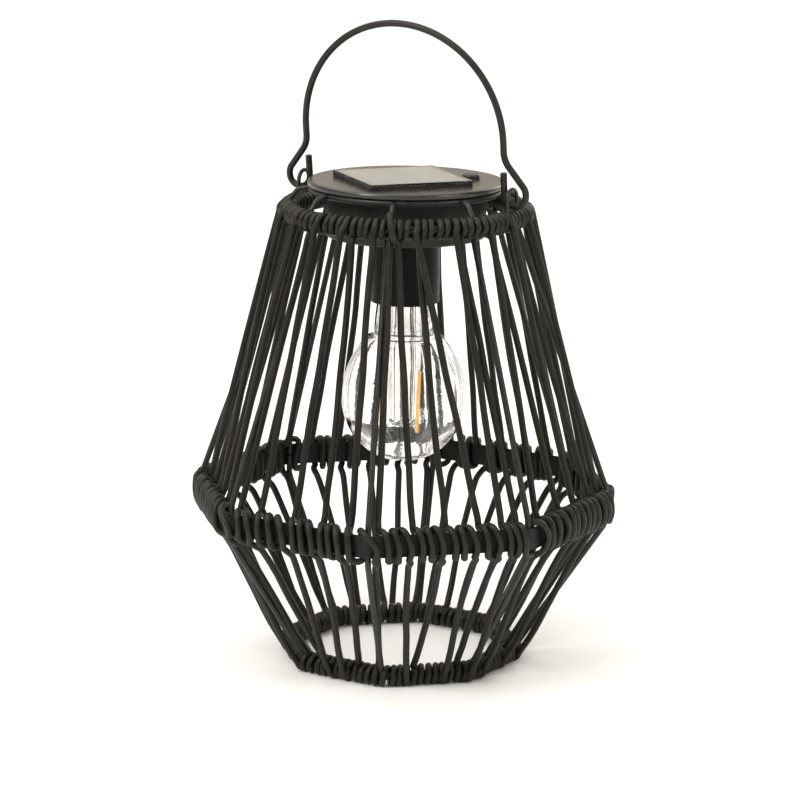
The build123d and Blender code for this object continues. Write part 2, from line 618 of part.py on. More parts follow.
# Leads: panel to board through the cap, and board to lamp socket through the housing floor.
with BuildPart() as panel_leads:
    with BuildSketch(Plane.XY.offset(board_z + 1.6)):
        with Locations((1.0, 4), (-1.0, 4)):
            Circle(0.6)
    extrude(amount=CAP_Z1 - board_z - 1.6)
panel_leads.part.label = "panel_leads"
export_step(panel_leads.part, "parts/panel_leads.step")

with BuildPart() as lamp_leads:
    with BuildSketch(Plane.XY.offset(DRUM_Z0 - 3.4)):
        with Locations((1.2, 1.4), (-1.2, 1.4)):
            Circle(0.6)
    extrude(amount=board_z - DRUM_Z0 + 3.4)
lamp_leads.part.label = "lamp_leads"
export_step(lamp_leads.part, "parts/lamp_leads.step")
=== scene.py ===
import math
import random

import bpy
from mathutils import Euler, Matrix, Vector, noise


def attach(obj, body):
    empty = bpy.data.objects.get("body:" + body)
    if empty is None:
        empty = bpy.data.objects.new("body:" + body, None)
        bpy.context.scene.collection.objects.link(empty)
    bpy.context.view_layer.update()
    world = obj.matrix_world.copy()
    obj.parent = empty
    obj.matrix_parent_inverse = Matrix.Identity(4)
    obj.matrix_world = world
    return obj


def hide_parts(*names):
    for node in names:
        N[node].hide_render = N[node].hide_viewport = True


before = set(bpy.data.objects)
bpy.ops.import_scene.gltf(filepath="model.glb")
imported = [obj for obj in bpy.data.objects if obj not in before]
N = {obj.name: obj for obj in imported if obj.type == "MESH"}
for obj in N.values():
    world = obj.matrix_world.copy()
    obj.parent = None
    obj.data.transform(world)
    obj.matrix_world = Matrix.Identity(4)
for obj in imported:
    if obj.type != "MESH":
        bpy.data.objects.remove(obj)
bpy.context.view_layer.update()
rng = random.Random(609)

# ------------------------------------------------------------------ tables (mm, degrees), as in the CAD source
CORD_R = 1.65
UPPER = [
    (-1.8, -4.5, "over"), (3.6, 5.3, "under"), (16.3, 13.8, "over"), (21.9, 23.2, "under"),
    (25.4, 32.4, "under"), (35.2, 41.7, "under"), (31.6, 51.2, "over"), (49.8, 57.6, "over"),
    (54.6, 61.5, "under"), (68.4, 71.4, "over"), (72.8, 83.2, "under"), (85.4, 92.2, "over"),
    (92.2, 101.2, "under"), (103.0, 105.9, "over"), (112.8, 116.6, "under"), (121.4, 126.4, "over"),
    (127.4, 134.7, "under"), (139.8, 139.0, "over"), (145.6, 149.0, "under"), (157.4, 159.2, "over"),
    (163.4, 166.4, "under"), (175.4, 174.9, "over"), (181.4, 184.4, "under"), (193.4, 194.1, "over"),
    (202.2, 203.0, "under"), (210.6, 211.7, "over"), (216.8, 220.9, "under"), (227.8, 229.9, "over"),
    (233.8, 238.2, "under"), (247.2, 247.6, "over"), (251.2, 257.4, "under"), (261.8, 267.2, "over"),
    (268.2, 275.7, "under"), (278.8, 282.7, "over"), (285.0, 286.6, "under"), (295.8, 296.6, "over"),
    (301.8, 304.9, "under"), (312.8, 313.3, "over"), (318.6, 317.6, "under"), (329.8, 325.9, "over"),
    (338.0, 337.8, "under"), (346.6, 344.2, "over"),
]
LOWER = [
    -7.6, -3.0, 6.4, 22.8, 30.6, 35.2, 50.6, 55.6, 60.4, 71.6, 78.4, 90.4, 97.2, 105.6, 114.8,
    127.6, 132.0, 144.8, 149.2, 162.0, 166.4, 179.2, 183.6, 196.4, 201.6, 213.6, 218.0, 230.8,
    235.2, 248.0, 252.4, 265.2, 269.6, 282.4, 286.8, 299.6, 304.0, 316.8, 321.2, 333.0, 337.4,
    347.0,
]
WAIST_CIRCUM, CORD_IN = 104.0, -2.55
BAND_Z0, BAND_Z1 = 77.0, 87.8
TOP_R, TOP_Z = 57.5, 226.0
BASE_CIRCUM, BASE_Z, STRUT0 = 57.5, 5.3, 20.0


def at(radius, bearing, z):
    a = math.radians(bearing)
    return Vector((radius * math.sin(a), -radius * math.cos(a), z))


def base_radius(bearing):
    off = (bearing - STRUT0) % 45 - 22.5
    return BASE_CIRCUM * math.cos(math.radians(22.5)) / math.cos(math.radians(off))


# ------------------------------------------------------------------ camera
cam_data = bpy.data.cameras.new("camera")
cam = bpy.data.objects.new("camera", cam_data)
bpy.context.scene.collection.objects.link(cam)
cam_data.sensor_width = 36.0
cam_data.lens = 144.97
cam_data.clip_start, cam_data.clip_end = 0.05, 60
cam.location = (0.7579, -1.3672, 0.4781)
cam.rotation_mode = "QUATERNION"
cam.rotation_quaternion = (
    Matrix.Rotation(math.radians(29) + 0.0012, 3, "Z")
    @ Matrix.Rotation(math.pi / 2 - 0.2186, 3, "X")
    @ Matrix.Rotation(0.0116, 3, "Z")
).to_quaternion()
bpy.context.scene.camera = cam

# ------------------------------------------------------------------ stage: floor, world, lights
def node_tree(holder):
    holder.use_nodes = True
    t = holder.node_tree
    t.nodes.clear()
    return t


def link(t, a, b):
    t.links.new(a, b)


floor_mesh = bpy.data.meshes.new("floor")
S = 9.0
floor_mesh.from_pydata([(-S, -S, 0), (S, -S, 0), (S, S, 0), (-S, S, 0)], [], [(0, 1, 2, 3)])
floor = bpy.data.objects.new("floor", floor_mesh)
bpy.context.scene.collection.objects.link(floor)

world = bpy.data.worlds.new("studio")
bpy.context.scene.world = world
t = node_tree(world)
wout = t.nodes.new("ShaderNodeOutputWorld")
back = t.nodes.new("ShaderNodeBackground")
back.inputs["Color"].default_value = (1.0, 0.995, 0.985, 1)
env = t.nodes.new("ShaderNodeBackground")
mix = t.nodes.new("ShaderNodeMixShader")
path = t.nodes.new("ShaderNodeLightPath")
either = t.nodes.new("ShaderNodeMath")
either.operation = "MAXIMUM"
link(t, path.outputs["Is Camera Ray"], either.inputs[0])
link(t, path.outputs["Is Transmission Ray"], either.inputs[1])
link(t, either.outputs[0], mix.inputs[0])
link(t, env.outputs[0], mix.inputs[1])
link(t, back.outputs[0], mix.inputs[2])
link(t, mix.outputs[0], wout.inputs[0])
back.inputs["Strength"].default_value = 1.12
# the studio's lit wall is brightest behind the object and near the horizon
coord = t.nodes.new("ShaderNodeTexCoord")
dot = t.nodes.new("ShaderNodeVectorMath")
dot.operation = "DOT_PRODUCT"
wall = Vector((-math.sin(math.radians(29)), math.cos(math.radians(29)), 0.12)).normalized()
dot.inputs[1].default_value = wall
link(t, coord.outputs["Generated"], dot.inputs[0])
ramp = t.nodes.new("ShaderNodeValToRGB")
ramp.color_ramp.elements[0].position = 0.0
ramp.color_ramp.elements[0].color = (0.11, 0.107, 0.10, 1)
ramp.color_ramp.elements[1].position = 0.80
ramp.color_ramp.elements[1].color = (0.80, 0.72, 0.615, 1)
e = ramp.color_ramp.elements.new(0.35)
e.color = (0.17, 0.165, 0.155, 1)
link(t, dot.outputs["Value"], ramp.inputs[0])
link(t, ramp.outputs[0], env.inputs["Color"])
env.inputs["Strength"].default_value = 1.0


def area(name, loc, target, size, power, color=(1, 1, 1)):
    d = bpy.data.lights.new(name, "AREA")
    d.shape = "RECTANGLE"
    d.size, d.size_y = size
    d.energy = power
    d.color = color
    o = bpy.data.objects.new(name, d)
    o.location = loc
    o.rotation_mode = "QUATERNION"
    o.rotation_quaternion = (Vector(target) - Vector(loc)).to_track_quat("-Z", "Y")
    bpy.context.scene.collection.objects.link(o)
    return o


def around(azimuth, dist, height):
    a = math.radians(azimuth)
    return (dist * math.sin(a), -dist * math.cos(a), height)


area("key_softbox", around(29 - 50, 1.5, 1.35), (0, 0, 0.14), (0.7, 0.9), 17, (1, 0.965, 0.91))
area("fill_softbox", around(29 + 58, 1.6, 0.9), (0, 0, 0.12), (0.6, 1.0), 9, (1, 0.95, 0.885))
sun_data = bpy.data.lights.new("overhead_light", "SUN")
sun_data.energy = 3.05
sun_data.angle = math.radians(100)
sun_data.color = (1, 0.98, 0.955)
sun = bpy.data.objects.new("overhead_light", sun_data)
sun.rotation_mode = "XYZ"
sun.rotation_euler = (math.radians(12), math.radians(-10), 0)
bpy.context.scene.collection.objects.link(sun)
area("rim_softbox", around(29 + 180 - 35, 1.7, 0.9), (0, 0, 0.15), (1.0, 1.0), 8, (1, 0.94, 0.86))
sv = bpy.context.scene.view_settings
sv.view_transform = "Standard"
sv.look = "None"
sv.exposure = 0.0

# ------------------------------------------------------------------ materials
def material(name, dark, light, scale=40.0, stretch=(1, 1, 1), rough=(0.4, 0.5), bump=0.1, bump_scale=None,
             bump_dist=0.0004, metallic=0.0, coords="Object", detail=6.0, ramp_pos=(0.35, 0.65), spec=0.5, turn=0.0,
             coat=0.0, coat_rough=0.2):
    m = bpy.data.materials.new(name)
    t = node_tree(m)
    out = t.nodes.new("ShaderNodeOutputMaterial")
    bsdf = t.nodes.new("ShaderNodeBsdfPrincipled")
    link(t, bsdf.outputs[0], out.inputs[0])
    if coords == "cord":
        src = t.nodes.new("ShaderNodeAttribute")
        src.attribute_name = "cord_space"
        vec = src.outputs["Vector"]
    else:
        src = t.nodes.new("ShaderNodeTexCoord")
        vec = src.outputs["Object"]
    mp = t.nodes.new("ShaderNodeMapping")
    mp.inputs["Scale"].default_value = stretch
    mp.inputs["Rotation"].default_value = (0, 0, turn)
    link(t, vec, mp.inputs[0])
    n1 = t.nodes.new("ShaderNodeTexNoise")
    n1.inputs["Scale"].default_value = scale
    n1.inputs["Detail"].default_value = detail
    n1.inputs["Roughness"].default_value = 0.6
    link(t, mp.outputs[0], n1.inputs["Vector"])
    cr = t.nodes.new("ShaderNodeValToRGB")
    cr.color_ramp.elements[0].position = ramp_pos[0]
    cr.color_ramp.elements[0].color = (*dark, 1)
    cr.color_ramp.elements[1].position = ramp_pos[1]
    cr.color_ramp.elements[1].color = (*light, 1)
    link(t, n1.outputs["Fac"], cr.inputs[0])
    link(t, cr.outputs[0], bsdf.inputs["Base Color"])
    mr = t.nodes.new("ShaderNodeMapRange")
    mr.inputs["From Min"].default_value = 0.3
    mr.inputs["From Max"].default_value = 0.7
    mr.inputs["To Min"].default_value = rough[0]
    mr.inputs["To Max"].default_value = rough[1]
    link(t, n1.outputs["Fac"], mr.inputs["Value"])
    link(t, mr.outputs[0], bsdf.inputs["Roughness"])
    if bump:
        n2 = t.nodes.new("ShaderNodeTexNoise")
        n2.inputs["Scale"].default_value = bump_scale or scale * 3
        n2.inputs["Detail"].default_value = 4.0
        link(t, mp.outputs[0], n2.inputs["Vector"])
        b = t.nodes.new("ShaderNodeBump")
        b.inputs["Strength"].default_value = bump
        b.inputs["Distance"].default_value = bump_dist
        link(t, n2.outputs["Fac"], b.inputs["Height"])
        link(t, b.outputs[0], bsdf.inputs["Normal"])
    bsdf.inputs["Metallic"].default_value = metallic
    bsdf.inputs["Specular IOR Level"].default_value = spec
    if coat:
        bsdf.inputs["Coat Weight"].default_value = coat
        bsdf.inputs["Coat Roughness"].default_value = coat_rough
    m["bsdf"] = bsdf.name
    return m


def bsdf_of(m):
    return m.node_tree.nodes[m["bsdf"]]


def clear(name, tint_dark, tint_light, ior, rough, scale=60, bump=0.05, bump_scale=25, bump_dist=0.0004):
    m = material(name, tint_dark, tint_light, scale=scale, rough=rough, bump=bump, bump_scale=bump_scale,
                 bump_dist=bump_dist)
    b = bsdf_of(m)
    b.inputs["Transmission Weight"].default_value = 1.0
    b.inputs["IOR"].default_value = ior
    return m


M = {}
# the cord: extruded plastic rattan with fine lengthwise lines, dark with a brown cast in the grooves
M["cord"] = material("cord_rattan", (0.0026, 0.0020, 0.0012), (0.0136, 0.0118, 0.0082), scale=1.25, stretch=(1, 1, 0.045),
                     rough=(0.36, 0.54), bump=0.75, bump_scale=2.1, bump_dist=0.00045, coords="cord", spec=0.34,
                     ramp_pos=(0.3, 0.72))
bsdf_of(M["cord"]).inputs["Specular Tint"].default_value = (1.0, 0.985, 0.93, 1)
M["frame_wire"] = material("frame_wire_coat", (0.0060, 0.0056, 0.0050), (0.0150, 0.0142, 0.0128), scale=240, rough=(0.36, 0.52),
                           bump=0.18, bump_scale=1500, bump_dist=0.0002, spec=0.45)
M["band_coat"] = material("band_coat", (0.0036, 0.0036, 0.0032), (0.0085, 0.0084, 0.0075), scale=130, stretch=(1, 1, 2.5),
                          rough=(0.50, 0.66), bump=0.2, bump_scale=1300, bump_dist=0.0002, spec=0.3)
M["handle_wire"] = material("handle_wire_coat", (0.0045, 0.0040, 0.0032), (0.0145, 0.0133, 0.0110), scale=420, rough=(0.34, 0.55),
                            bump=0.35, bump_scale=1700, bump_dist=0.00022, spec=0.36)
M["cap_plastic"] = material("cap_plastic", (0.012, 0.011, 0.0095), (0.020, 0.0185, 0.016), scale=75, rough=(0.24, 0.33),
                            bump=0.10, bump_scale=2600, bump_dist=0.00008, spec=0.6)
M["housing_plastic"] = material("housing_plastic", (0.014, 0.014, 0.0126), (0.024, 0.024, 0.0215), scale=90, rough=(0.38, 0.5),
                                bump=0.15, bump_scale=2200, bump_dist=0.0001, spec=0.4)
M["socket_plastic"] = material("socket_plastic", (0.0022, 0.0022, 0.0019), (0.0048, 0.0047, 0.0042), scale=110, rough=(0.3, 0.42),
                               bump=0.12, bump_scale=2000, bump_dist=0.0001, spec=0.14)
M["seal_rubber"] = material("seal_rubber", (0.02, 0.02, 0.02), (0.04, 0.04, 0.038), scale=300, rough=(0.7, 0.9), bump=0.3)
M["steel"] = material("screw_steel", (0.42, 0.41, 0.40), (0.62, 0.61, 0.59), scale=300, rough=(0.22, 0.4), bump=0.15,
                      metallic=1.0)
M["panel_board"] = material("panel_board", (0.008, 0.0085, 0.009), (0.02, 0.021, 0.022), scale=180, rough=(0.35, 0.5), bump=0.12)
M["button_rubber"] = material("button_rubber", (0.010, 0.010, 0.0098), (0.022, 0.0215, 0.021), scale=260, rough=(0.36, 0.5),
                              bump=0.2, bump_scale=1800, bump_dist=0.0001)
M["switch_plastic"] = material("switch_plastic", (0.02, 0.02, 0.022), (0.04, 0.04, 0.043), scale=200, rough=(0.4, 0.5), bump=0.1)
M["board_laminate"] = material("board_laminate", (0.02, 0.09, 0.035), (0.04, 0.16, 0.06), scale=160, rough=(0.35, 0.5), bump=0.1)
M["battery_sleeve"] = material("battery_sleeve", (0.03, 0.16, 0.10), (0.06, 0.24, 0.15), scale=90, rough=(0.25, 0.35), bump=0.05)
M["contact_metal"] = material("contact_metal", (0.55, 0.52, 0.46), (0.72, 0.69, 0.62), scale=260, rough=(0.25, 0.4), bump=0.1,
                              metallic=1.0)
M["brass_cap"] = material("brass_cap", (0.55, 0.52, 0.47), (0.75, 0.72, 0.66), scale=220, rough=(0.25, 0.42), bump=0.1,
                          metallic=1.0)
M["lead_insulation"] = material("lead_insulation", (0.30, 0.02, 0.02), (0.45, 0.04, 0.03), scale=200, rough=(0.4, 0.55), bump=0.1)
M["filament_yellow"] = material("filament_yellow", (0.78, 0.36, 0.035), (0.95, 0.56, 0.09), scale=900, rough=(0.45, 0.6),
                                bump=0.3, bump_scale=2500, bump_dist=0.0001)
fb = bsdf_of(M["filament_yellow"])
fb.inputs["Emission Color"].default_value = (1.0, 0.55, 0.12, 1)
fb.inputs["Emission Strength"].default_value = 0.35
M["bulb_clear"] = clear("bulb_clear", (0.965, 0.96, 0.95), (0.995, 0.99, 0.985), 1.46, (0.0, 0.015), bump=0.05, bump_scale=42,
                        bump_dist=0.0012)
M["stem_clear"] = clear("stem_clear", (0.93, 0.92, 0.90), (0.985, 0.98, 0.97), 1.45, (0.0, 0.03), bump=0.08, bump_scale=90,
                        bump_dist=0.0008)
M["panel_resin"] = clear("panel_resin", (0.86, 0.83, 0.78), (0.91, 0.88, 0.84), 1.37, (0.04, 0.09), bump=0.012, bump_scale=22)

# solar cells: dark silicon with fine collector lines across each strip
m = material("cell_silicon", (0.014, 0.014, 0.018), (0.030, 0.030, 0.036), scale=120, rough=(0.16, 0.26), bump=0.02, spec=0.35)
t = m.node_tree
b = bsdf_of(m)
tc = t.nodes.new("ShaderNodeTexCoord")
mp = t.nodes.new("ShaderNodeMapping")
mp.inputs["Rotation"].default_value = (0, 0, math.radians(-50.3))
link(t, tc.outputs["Object"], mp.inputs[0])
w = t.nodes.new("ShaderNodeTexWave")
w.wave_type = "BANDS"
w.bands_direction = "X"
w.inputs["Scale"].default_value = 130.0
w.inputs["Distortion"].default_value = 0.15
link(t, mp.outputs[0], w.inputs["Vector"])
cr = t.nodes.new("ShaderNodeValToRGB")
cr.color_ramp.elements[0].position = 0.86
cr.color_ramp.elements[0].color = (0, 0, 0, 1)
cr.color_ramp.elements[1].position = 0.97
cr.color_ramp.elements[1].color = (1, 1, 1, 1)
link(t, w.outputs["Color"], cr.inputs[0])
old = [l for l in t.links if l.to_node == b and l.to_socket.name == "Base Color"][0].from_socket
mx = t.nodes.new("ShaderNodeMix")
mx.data_type = "RGBA"
link(t, cr.outputs[0], mx.inputs[0])
link(t, old, mx.inputs[6])
mx.inputs[7].default_value = (0.46, 0.43, 0.38, 1)
link(t, mx.outputs[2], b.inputs["Base Color"])
M["cell_silicon"] = m

floor_mat = material("floor_paper", (0.925, 0.922, 0.915), (0.935, 0.932, 0.925), scale=14, rough=(0.75, 0.85), bump=0.04,
                     bump_scale=400, spec=0.2)
floor.data.materials.append(floor_mat)

SLOTS = {
    "bottom_ring": "frame_wire", "lower_struts": "frame_wire", "upper_struts": "frame_wire", "top_ring": "frame_wire",
    "mid_band": "band_coat", "seat_ring": "frame_wire", "seat_posts": "frame_wire", "handle_eye_left": "frame_wire",
    "handle_eye_right": "frame_wire", "handle_bail": "handle_wire", "module_cap": "cap_plastic",
    "module_housing": "housing_plastic", "housing_seal": "seal_rubber", "housing_screws": "steel",
    "solar_panel_board": "panel_board", "solar_cells": "cell_silicon", "panel_cover": "panel_resin",
    "switch_button": "button_rubber", "switch_body": "switch_plastic", "switch_clip": "steel",
    "circuit_board": "board_laminate", "battery_tray": "housing_plastic", "battery": "battery_sleeve",
    "battery_plate": "contact_metal", "battery_spring": "contact_metal", "lamp_socket": "socket_plastic",
    "socket_screws": "steel", "socket_contact": "contact_metal", "bulb_base": "brass_cap",
    "bulb_envelope": "bulb_clear", "bulb_stem": "stem_clear", "led_filaments": "filament_yellow",
    "filament_supports": "contact_metal", "panel_leads": "lead_insulation", "lamp_leads": "lead_insulation",
    "top_wrap": "cord", "bottom_wrap": "cord", "upper_cords": "cord", "lower_cords": "cord", "band_hitches": "cord",
}
for name, obj in N.items():
    slots = obj.data.materials
    slots.clear()
    slots.append(M[SLOTS[name]])


# ------------------------------------------------------------------ tubes along points
def smooth(points, step, closed=False):
    """Catmull-Rom through the points, sampled about every step mm."""
    n = len(points)
    out = []
    last = n if closed else n - 1
    for i in range(last):
        if closed:
            p0, p1, p2, p3 = (points[(i + k) % n] for k in (-1, 0, 1, 2))
        else:
            p1, p2 = points[i], points[i + 1]
            p0 = points[i - 1] if i > 0 else p1 * 2 - p2
            p3 = points[i + 2] if i + 2 < n else p2 * 2 - p1
        # centripetal knots
        t0 = 0.0
        t1 = t0 + max((p1 - p0).length, 1e-6) ** 0.5
        t2 = t1 + max((p2 - p1).length, 1e-6) ** 0.5
        t3 = t2 + max((p3 - p2).length, 1e-6) ** 0.5
        count = max(1, int(round((p2 - p1).length / step)))
        for k in range(count):
            u = t1 + (t2 - t1) * k / count
            a1 = p0 * ((t1 - u) / (t1 - t0)) + p1 * ((u - t0) / (t1 - t0))
            a2 = p1 * ((t2 - u) / (t2 - t1)) + p2 * ((u - t1) / (t2 - t1))
            a3 = p2 * ((t3 - u) / (t3 - t2)) + p3 * ((u - t2) / (t3 - t2))
            b1 = a1 * ((t2 - u) / (t2 - t0)) + a2 * ((u - t0) / (t2 - t0))
            b2 = a2 * ((t3 - u) / (t3 - t1)) + a3 * ((u - t1) / (t3 - t1))
            out.append(b1 * ((t2 - u) / (t2 - t1)) + b2 * ((u - t1) / (t2 - t1)))
    if not closed:
        out.append(points[-1])
    return out


class Tubes:
    def __init__(self):
        self.v, self.f, self.c = [], [], []

    def add(self, pts, rad=CORD_R, sides=12, lo=0, hi=None, closed=False, caps=True, seed=0.0):
        n = len(pts)
        hi = n - 1 if hi is None else hi
        tang = []
        for i in range(n):
            a = pts[(i - 1) % n] if closed else pts[max(i - 1, 0)]
            b = pts[(i + 1) % n] if closed else pts[min(i + 1, n - 1)]
            tang.append((b - a).normalized())
        up = Vector((0, 0, 1)) if abs(tang[0].z) < 0.9 else Vector((1, 0, 0))
        nrm = (up - tang[0] * up.dot(tang[0])).normalized()
        normals = [nrm]
        for i in range(1, n):
            q = tang[i - 1].rotation_difference(tang[i])
            nrm = q @ nrm
            nrm = (nrm - tang[i] * nrm.dot(tang[i])).normalized()
            normals.append(nrm)
        length = [0.0]
        for i in range(1, n):
            length.append(length[-1] + (pts[i] - pts[i - 1]).length)
        base = len(self.v)
        span = range(lo, hi + 1)
        for i in span:
            r = rad(i / (n - 1)) if callable(rad) else rad
            bi = tang[i].cross(normals[i])
            for j in range(sides):
                a = 2 * math.pi * j / sides
                self.v.append((pts[i] + (normals[i] * math.cos(a) + bi * math.sin(a)) * r) * 0.001)
                self.c.append((math.cos(a) * 1.65, math.sin(a) * 1.65 + seed * 7.3, length[i] + seed * 41.0))
        rows = len(span)
        for i in range(rows - 1):
            for j in range(sides):
                k = (j + 1) % sides
                self.f.append((base + i * sides + j, base + i * sides + k, base + (i + 1) * sides + k, base + (i + 1) * sides + j))
        if closed:
            # join the last row to the first at the nearest turn of the ring
            first, lastr = base, base + (rows - 1) * sides
            best = min(range(sides), key=lambda s: (self.v[first + s] - self.v[lastr]).length)
            for j in range(sides):
                k = (j + 1) % sides
                self.f.append((lastr + j, lastr + k, first + (k + best) % sides, first + (j + best) % sides))
        elif caps:
            for start, flip in ((base, True), (base + (rows - 1) * sides, False)):
                ring = list(range(len(self.v), len(self.v) + sides))
                self.v += [self.v[start + j].copy() for j in range(sides)]
                self.c += [self.c[start + j] for j in range(sides)]
                self.f.append(tuple(reversed(ring)) if flip else tuple(ring))

    def make(self, name, mat, body):
        me = bpy.data.meshes.new(name)
        me.from_pydata([tuple(p) for p in self.v], [], self.f)
        at_ = me.attributes.new("cord_space", "FLOAT_VECTOR", "POINT")
        at_.data.foreach_set("vector", [x for c in self.c for x in c])
        me.polygons.foreach_set("use_smooth", [len(p.vertices) == 4 for p in me.polygons])
        me.materials.append(mat)
        me.update()
        o = bpy.data.objects.new(name, me)
        bpy.context.scene.collection.objects.link(o)
        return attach(o, body)


def wob(x, k):
    """Smooth seeded wander between -1 and 1."""
    return noise.noise(Vector((x, k * 17.31 + 3.7, 5.2))) * 1.6


def pwob(turn, turns, freq, k):
    """The same, but it closes on itself after all the turns."""
    a = 2 * math.pi * turn / turns
    r = turns * freq / (2 * math.pi)
    return noise.noise(Vector((r * math.cos(a) + 50 * k, r * math.sin(a), 3.1))) * 1.6


# ------------------------------------------------------------------ winding on the top ring
TURNS_TOP = 98
per = 26


def top_turn(turn, extra=0.0):
    slip = 0.17 * pwob(turn, TURNS_TOP, 0.9, 1)
    phi = 360.0 * (turn + slip) / TURNS_TOP
    th = 2 * math.pi * turn + 0.25 * pwob(turn, TURNS_TOP, 0.35, 2)
    r = 3.66 + 0.17 * pwob(turn, TURNS_TOP, 0.8, 3) + extra
    tilt = 0.5 * math.cos(th) * (360 / TURNS_TOP) * 0.35
    ring = TOP_R + 0.8 * math.cos(math.radians(8 * (phi - STRUT0)))
    return at(ring + r * math.cos(th), phi + tilt, TOP_Z + r * math.sin(th))


top = Tubes()
top.add([top_turn(i / per) for i in range(TURNS_TOP * per)], sides=10, closed=True)
# one cord end crosses slantwise over the winding and is tucked in under it
crossing = []
for r, th, b in ((4.7, 160, 19.8), (6.3, 122, 20.5), (6.95, 82, 21.3), (6.95, 42, 22.3), (6.95, 2, 23.3), (6.9, -38, 24.4),
                 (6.2, -78, 25.3), (4.7, -112, 25.9)):
    th = math.radians(th)
    crossing.append(at(TOP_R + r * math.cos(th), b, TOP_Z + r * math.sin(th)))
top.add(smooth(crossing, 0.9), sides=10, seed=3.0)
top_winding = top.make("top_ring_winding", M["cord"], "cage")
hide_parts("top_wrap")

# ------------------------------------------------------------------ winding on the bottom octagon
class Octagon:
    """A level octagon with rounded corners, measured along its length in the direction of increasing bearing."""

    def __init__(self, circum, z, fillet):
        corners = [at(circum, STRUT0 + 45 * k, z) for k in range(8)]
        self.p = []
        for k in range(8):
            a, b, c = corners[k - 1], corners[k], corners[(k + 1) % 8]
            d1, d2 = (a - b).normalized(), (c - b).normalized()
            half = d1.angle(d2) / 2
            cut = fillet / math.tan(half)
            centre = b + (d1 + d2).normalized() * (fillet / math.sin(half))
            p1, p2 = b + d1 * cut, b + d2 * cut
            for n in range(9):
                q = p1.lerp(p2, n / 8) - centre
                self.p.append(centre + q.normalized() * fillet)
        self.n = len(self.p)
        self.s = [0.0]
        for k in range(self.n):
            self.s.append(self.s[-1] + (self.p[(k + 1) % self.n] - self.p[k]).length)
        self.length = self.s[-1]

    def at(self, d):
        """The point and the direction along at distance d."""
        d %= self.length
        lo, hi = 0, self.n
        while hi - lo > 1:
            mid = (lo + hi) // 2
            if self.s[mid] <= d:
                lo = mid
            else:
                hi = mid
        u = (d - self.s[lo]) / (self.s[lo + 1] - self.s[lo])
        a, b = self.p[lo], self.p[(lo + 1) % self.n]
        return a.lerp(b, u), (b - a).normalized()

    def out(self, d, blend=2.0):
        """The point and the direction outwards, turned gradually over the corner."""
        p, _ = self.at(d)
        tg = (self.at(d - blend)[1] + self.at(d + blend)[1]).normalized()
        o = Vector((tg.y, -tg.x, 0))
        return p, (o if o.dot(Vector((p.x, p.y, 0))) > 0 else -o)

    def corner(self, k):
        """Distance at which corner k lies; k may be any whole number."""
        turns, k = divmod(k, 8)
        return turns * self.length + (self.s[k * 9 + 4])

    def where(self, bearing):
        """Distance along for a bearing, continuous beyond a full turn."""
        k = math.floor((bearing - STRUT0) / 45)
        a, b = self.corner(k), self.corner(k + 1)
        for _ in range(40):
            m = (a + b) / 2
            p = self.at(m)[0]
            brg = math.degrees(math.atan2(p.x, -p.y))
            rel = (brg - (STRUT0 + 45 * k) + 180) % 360 - 180
            if rel < bearing - (STRUT0 + 45 * k):
                a = m
            else:
                b = m
        return (a + b) / 2


base_oct = Octagon(BASE_CIRCUM, BASE_Z, 7.0)
PERIM = base_oct.length
TURNS_BASE = 97
coil = []
for i in range(TURNS_BASE * per):
    turn = i / per
    slip = 0.20 * pwob(turn, TURNS_BASE, 0.9, 11)
    d = PERIM * (turn + slip) / TURNS_BASE
    th = 2 * math.pi * turn + 0.25 * pwob(turn, TURNS_BASE, 0.35, 12)
    r = 3.62 + 0.12 * pwob(turn, TURNS_BASE, 0.8, 13)
    # the direction outwards is blended over the corner so that turns fan round it
    p, outw = base_oct.out(d, 4.0)
    z = BASE_Z + r * math.sin(th)
    coil.append(p + outw * (r * math.cos(th)) + Vector((0, 0, max(z, CORD_R) - p.z)))
base = Tubes()
base.add(coil, sides=10, closed=True)
base_winding = base.make("bottom_ring_winding", M["cord"], "cage")
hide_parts("bottom_wrap")

# ------------------------------------------------------------------ woven cords: down, hitched round the band, down again
upper, knots, lower = Tubes(), Tubes(), Tubes()
waist = Octagon(WAIST_CIRCUM, 0.0, 3.75)


def ring_point(radius, theta, bearing):
    """A point round the top ring: theta is measured from straight outwards, upwards."""
    a = math.radians(theta)
    return at(TOP_R + radius * math.cos(a), bearing, TOP_Z + radius * math.sin(a))


